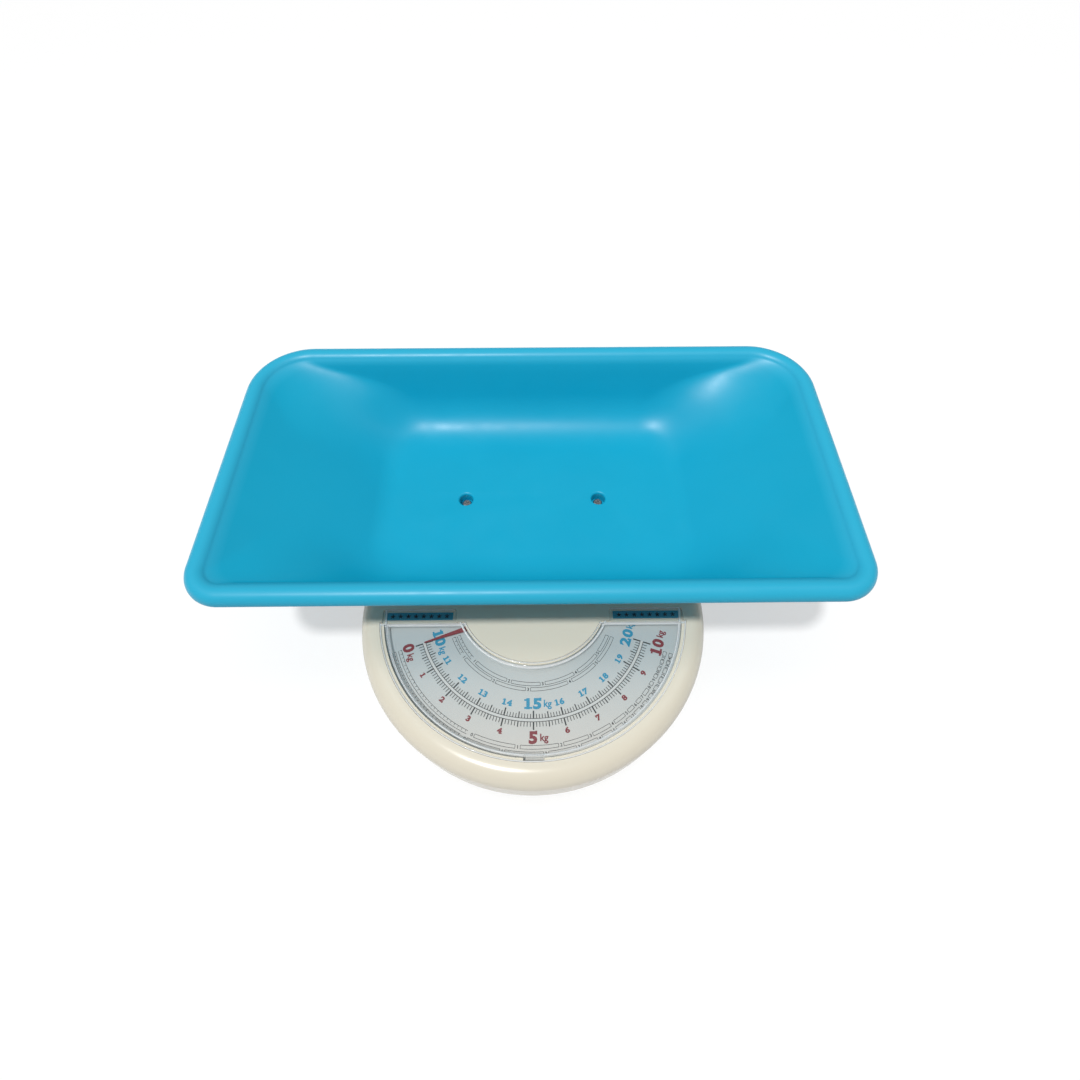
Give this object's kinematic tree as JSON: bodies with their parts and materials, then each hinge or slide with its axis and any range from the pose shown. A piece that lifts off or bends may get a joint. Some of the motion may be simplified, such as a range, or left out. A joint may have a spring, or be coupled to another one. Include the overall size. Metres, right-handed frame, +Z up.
{
  "type": "mechanical baby scale",
  "caption": "Mechanical baby scale: a wide moulded tray on a weighing platform over a rounded base with a half-round dial and a lever, rack and pinion movement.",
  "frame": {"origin": "on the surface the scale stands on, under the middle of the whole scale", "axes": "+X to the right along the tray, +Y to the back, away from the dial, +Z up"},
  "size_m": [0.553, 0.407, 0.1585],
  "materials": {
    "blue_tray": "satin moulded polypropylene",
    "cream_housing": "glossy moulded styrene",
    "pale_pan": "moulded plastic",
    "clear_plastic": "clear polished",
    "dial_paint": "printed satin",
    "teal_label": "printed film",
    "black_rubber": "matt",
    "zinc_steel": "zinc plated",
    "hard_steel": "ground",
    "screw_steel": "nickel plated",
    "spring_wire": "drawn wire",
    "brass": "turned",
    "white_acetal": "moulded",
    "red_paint": "satin paint",
    "blue_paint": "satin paint",
    "grey_knob": "moulded"
  },
  "bodies": {
    "base": {"base_pan": "pale_pan", "top_housing": "cream_housing", "dial_plate": "dial_paint", "dial_window": "clear_plastic", "label_strips": "teal_label", "rubber_feet": "black_rubber", "case_screws": "screw_steel", "dial_screws": "screw_steel", "shaft_bridge": "zinc_steel", "lower_bearing": "brass", "upper_bearing": "brass", "rack_guide": "white_acetal", "fulcrum_brackets": "zinc_steel", "bracket_screws": "screw_steel", "spring_bracket": "zinc_steel", "crank_bracket": "zinc_steel", "crank_pin": "screw_steel", "main_spring": "spring_wire"},
    "weighing_table": {"platform": "white_acetal", "tray": "blue_tray", "tray_screws": "screw_steel", "tray_nuts": "screw_steel", "load_saddles": "hard_steel"},
    "long_lever": {"main_lever": "zinc_steel", "main_knives": "hard_steel"},
    "rear_lever": {"short_lever": "zinc_steel", "short_knives": "hard_steel"},
    "spring_hook_plate": {"spring_plate": "zinc_steel"},
    "crank": {"bell_crank": "zinc_steel"},
    "rack_bar": {"rack": "brass", "rack_pin": "screw_steel"},
    "pointer": {"pinion": "brass", "pointer_shaft": "screw_steel", "pointer_hub": "white_acetal", "red_pointer": "red_paint", "blue_pointer": "blue_paint"},
    "zero_adjuster": {"zero_knob": "grey_knob", "zero_screw": "screw_steel"}
  },
  "joints": [
    {"name": "platform_press", "type": "slide", "parent": "base", "child": "weighing_table", "axis": [0, 0, -1], "range_m": [0, 0.0025], "stiffness_N_per_m": 78480, "springref_m": -0.00015},
    {"name": "long_lever_tilt", "type": "hinge", "parent": "base", "child": "long_lever", "pos_m": [0, -0.0005, 0.022], "axis": [-1, 0, 0], "range_deg": [0, 4.77]},
    {"name": "rear_lever_tilt", "type": "hinge", "parent": "base", "child": "rear_lever", "pos_m": [0, 0.1195, 0.022], "axis": [1, 0, 0], "range_deg": [0, 4.77]},
    {"name": "spring_plate_drop", "type": "slide", "parent": "base", "child": "spring_hook_plate", "axis": [0, 0, -1], "range_m": [0, 0.00833], "deforming": ["main_spring"]},
    {"name": "crank_turn", "type": "hinge", "parent": "base", "child": "crank", "pos_m": [0.00985, 0.08121, 0.014], "axis": [-1, 0, 0], "range_deg": [0, 26.1]},
    {"name": "rack_slide", "type": "slide", "parent": "base", "child": "rack_bar", "axis": [0, 1, 0], "range_m": [0, 0.01481]},
    {"name": "pointer_turn", "type": "hinge", "parent": "base", "child": "pointer", "pos_m": [0, -0.0425, 0.0544], "axis": [0, 0, 1], "range_deg": [0, 282.8]},
    {"name": "zero_turn", "type": "hinge", "parent": "base", "child": "zero_adjuster", "pos_m": [0, 0.143, 0.042], "axis": [0, 1, 0], "range_deg": [-360, 360]}
  ],
  "couplings": [
    {"joint": "long_lever_tilt", "follows": "platform_press", "rad_per_m": 33.333},
    {"joint": "rear_lever_tilt", "follows": "platform_press", "rad_per_m": 33.333},
    {"joint": "spring_plate_drop", "follows": "platform_press", "ratio": 3.3333},
    {"joint": "crank_turn", "follows": "platform_press", "rad_per_m": 182.24},
    {"joint": "rack_slide", "follows": "platform_press", "ratio": 5.9229},
    {"joint": "pointer_turn", "follows": "platform_press", "rad_per_m": 1974.3}
  ]
}
